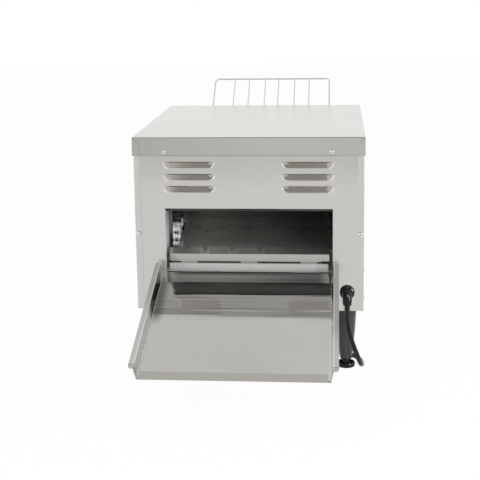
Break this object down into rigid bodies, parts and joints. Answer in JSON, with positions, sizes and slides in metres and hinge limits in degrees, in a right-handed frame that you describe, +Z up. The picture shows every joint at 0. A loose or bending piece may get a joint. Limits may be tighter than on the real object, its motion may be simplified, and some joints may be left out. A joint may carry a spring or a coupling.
{
  "type": "conveyor toaster",
  "caption": "Countertop conveyor toaster on tall legs, with a sloping wire feed rack, a wire belt between quartz tubes, a toast chute and a hook-on catch tray.",
  "frame": {"origin": "middle of the machine's bounding box, on the surface its feet stand on", "axes": "+Z up, the feed rack and controls face -Y, toast comes out towards +Y, +X to the right seen from the feed side"},
  "size_m": [0.371, 0.8128, 0.4284],
  "materials": {
    "stainless": "satin, grain along the long way of each panel",
    "inner_steel": "satin, slightly darkened by heat",
    "bare_steel": "machined",
    "zinc_plate": "bright zinc plate",
    "bright_wire": "bright plated wire",
    "bronze": "sintered bronze",
    "ceramic": "fired ceramic",
    "quartz": "milky quartz with a heating coil inside",
    "motor_black": "satin enamel",
    "black_plastic": "fine grain",
    "leg_plastic": "moulded, satin",
    "foot_rubber": "moulded",
    "cord_rubber": "satin jacket",
    "terminal_plastic": "moulded",
    "lamp_amber": "clear amber"
  },
  "bodies": {
    "chassis": {"lid": "stainless", "left_side_panel": "stainless", "right_side_panel": "stainless", "rear_panel": "stainless", "front_panel": "stainless", "base_pan": "stainless", "chamber_floor": "inner_steel", "left_chamber_wall": "inner_steel", "right_chamber_wall": "inner_steel", "inner_roof": "inner_steel", "lower_reflector": "inner_steel", "rear_guide": "inner_steel", "toast_chute": "inner_steel", "chute_pins": "bare_steel", "belt_supports": "inner_steel", "shaft_bushings": "bronze", "conveyor_belt": "bright_wire", "upper_elements": "quartz", "lower_elements": "quartz", "element_caps": "ceramic", "gear_motor": "motor_black", "motor_bracket": "zinc_plate", "drive_chain": "bare_steel", "terminal_block": "terminal_plastic", "selector_switch": "black_plastic", "speed_control": "black_plastic", "pilot_lamps": "lamp_amber", "rack_brackets": "stainless", "legs": "leg_plastic", "leg_nuts": "zinc_plate", "lid_screws": "zinc_plate", "panel_screws": "zinc_plate", "side_screws": "zinc_plate", "motor_screws": "zinc_plate", "cord_gland": "black_plastic", "strain_relief": "cord_rubber", "power_cord": "cord_rubber", "cord_coil": "cord_rubber", "cord_tie": "black_plastic", "cord_tail": "cord_rubber", "plug": "black_plastic"},
    "drive": {"drive_shaft": "bare_steel", "drive_belt_sprockets": "bare_steel", "drive_chain_sprocket": "bare_steel", "drive_shaft_clips": "zinc_plate"},
    "idler": {"idler_shaft": "bare_steel", "idler_belt_sprockets": "bare_steel", "idler_shaft_clips": "zinc_plate"},
    "motor_output": {"motor_shaft": "bare_steel", "motor_sprocket": "bare_steel"},
    "speed_dial": {"speed_knob": "black_plastic"},
    "selector_dial": {"selector_knob": "black_plastic"},
    "crumb_drawer": {"crumb_tray": "stainless"},
    "toast_tray": {"catch_tray": "stainless"},
    "rack": {"feed_rack": "bright_wire"},
    "front_left_leveller": {"front_left_foot": "foot_rubber"},
    "rear_left_leveller": {"rear_left_foot": "foot_rubber"},
    "front_right_leveller": {"front_right_foot": "foot_rubber"},
    "rear_right_leveller": {"rear_right_foot": "foot_rubber"}
  },
  "joints": [
    {"name": "drive_spin", "type": "hinge", "parent": "chassis", "child": "drive", "pos_m": [0, 0.06074, 0.3006], "axis": [1, 0, 0], "continuous": true, "deforming": ["conveyor_belt", "drive_chain"]},
    {"name": "idler_spin", "type": "hinge", "parent": "chassis", "child": "idler", "pos_m": [0, -0.23926, 0.3006], "axis": [1, 0, 0], "continuous": true},
    {"name": "motor_spin", "type": "hinge", "parent": "chassis", "child": "motor_output", "pos_m": [0, 0.06074, 0.1355], "axis": [1, 0, 0], "continuous": true},
    {"name": "speed_knob_turn", "type": "hinge", "parent": "chassis", "child": "speed_dial", "pos_m": [0.11, -0.27686, 0.1355], "axis": [0, 1, 0], "range_deg": [0, 270]},
    {"name": "selector_knob_turn", "type": "hinge", "parent": "chassis", "child": "selector_dial", "pos_m": [-0.11, -0.27686, 0.1355], "axis": [0, 1, 0], "range_deg": [0, 90]},
    {"name": "crumb_tray_slide", "type": "slide", "parent": "chassis", "child": "crumb_drawer", "axis": [0, -1, 0], "range_m": [0, 0.29]},
    {"name": "catch_tray_lift", "type": "slide", "parent": "chassis", "child": "toast_tray", "axis": [0, 0, 1], "range_m": [0, 0.03]},
    {"name": "feed_rack_lift", "type": "slide", "parent": "chassis", "child": "rack", "axis": [0, 0, 1], "range_m": [0, 0.03]},
    {"name": "front_left_foot_screw", "type": "slide", "parent": "chassis", "child": "front_left_leveller", "axis": [0, 0, -1], "range_m": [0, 0.012]},
    {"name": "rear_left_foot_screw", "type": "slide", "parent": "chassis", "child": "rear_left_leveller", "axis": [0, 0, -1], "range_m": [0, 0.012]},
    {"name": "front_right_foot_screw", "type": "slide", "parent": "chassis", "child": "front_right_leveller", "axis": [0, 0, -1], "range_m": [0, 0.012]},
    {"name": "rear_right_foot_screw", "type": "slide", "parent": "chassis", "child": "rear_right_leveller", "axis": [0, 0, -1], "range_m": [0, 0.012]}
  ],
  "couplings": [
    {"joint": "idler_spin", "follows": "drive_spin", "ratio": 1},
    {"joint": "motor_spin", "follows": "drive_spin", "ratio": 1}
  ]
}
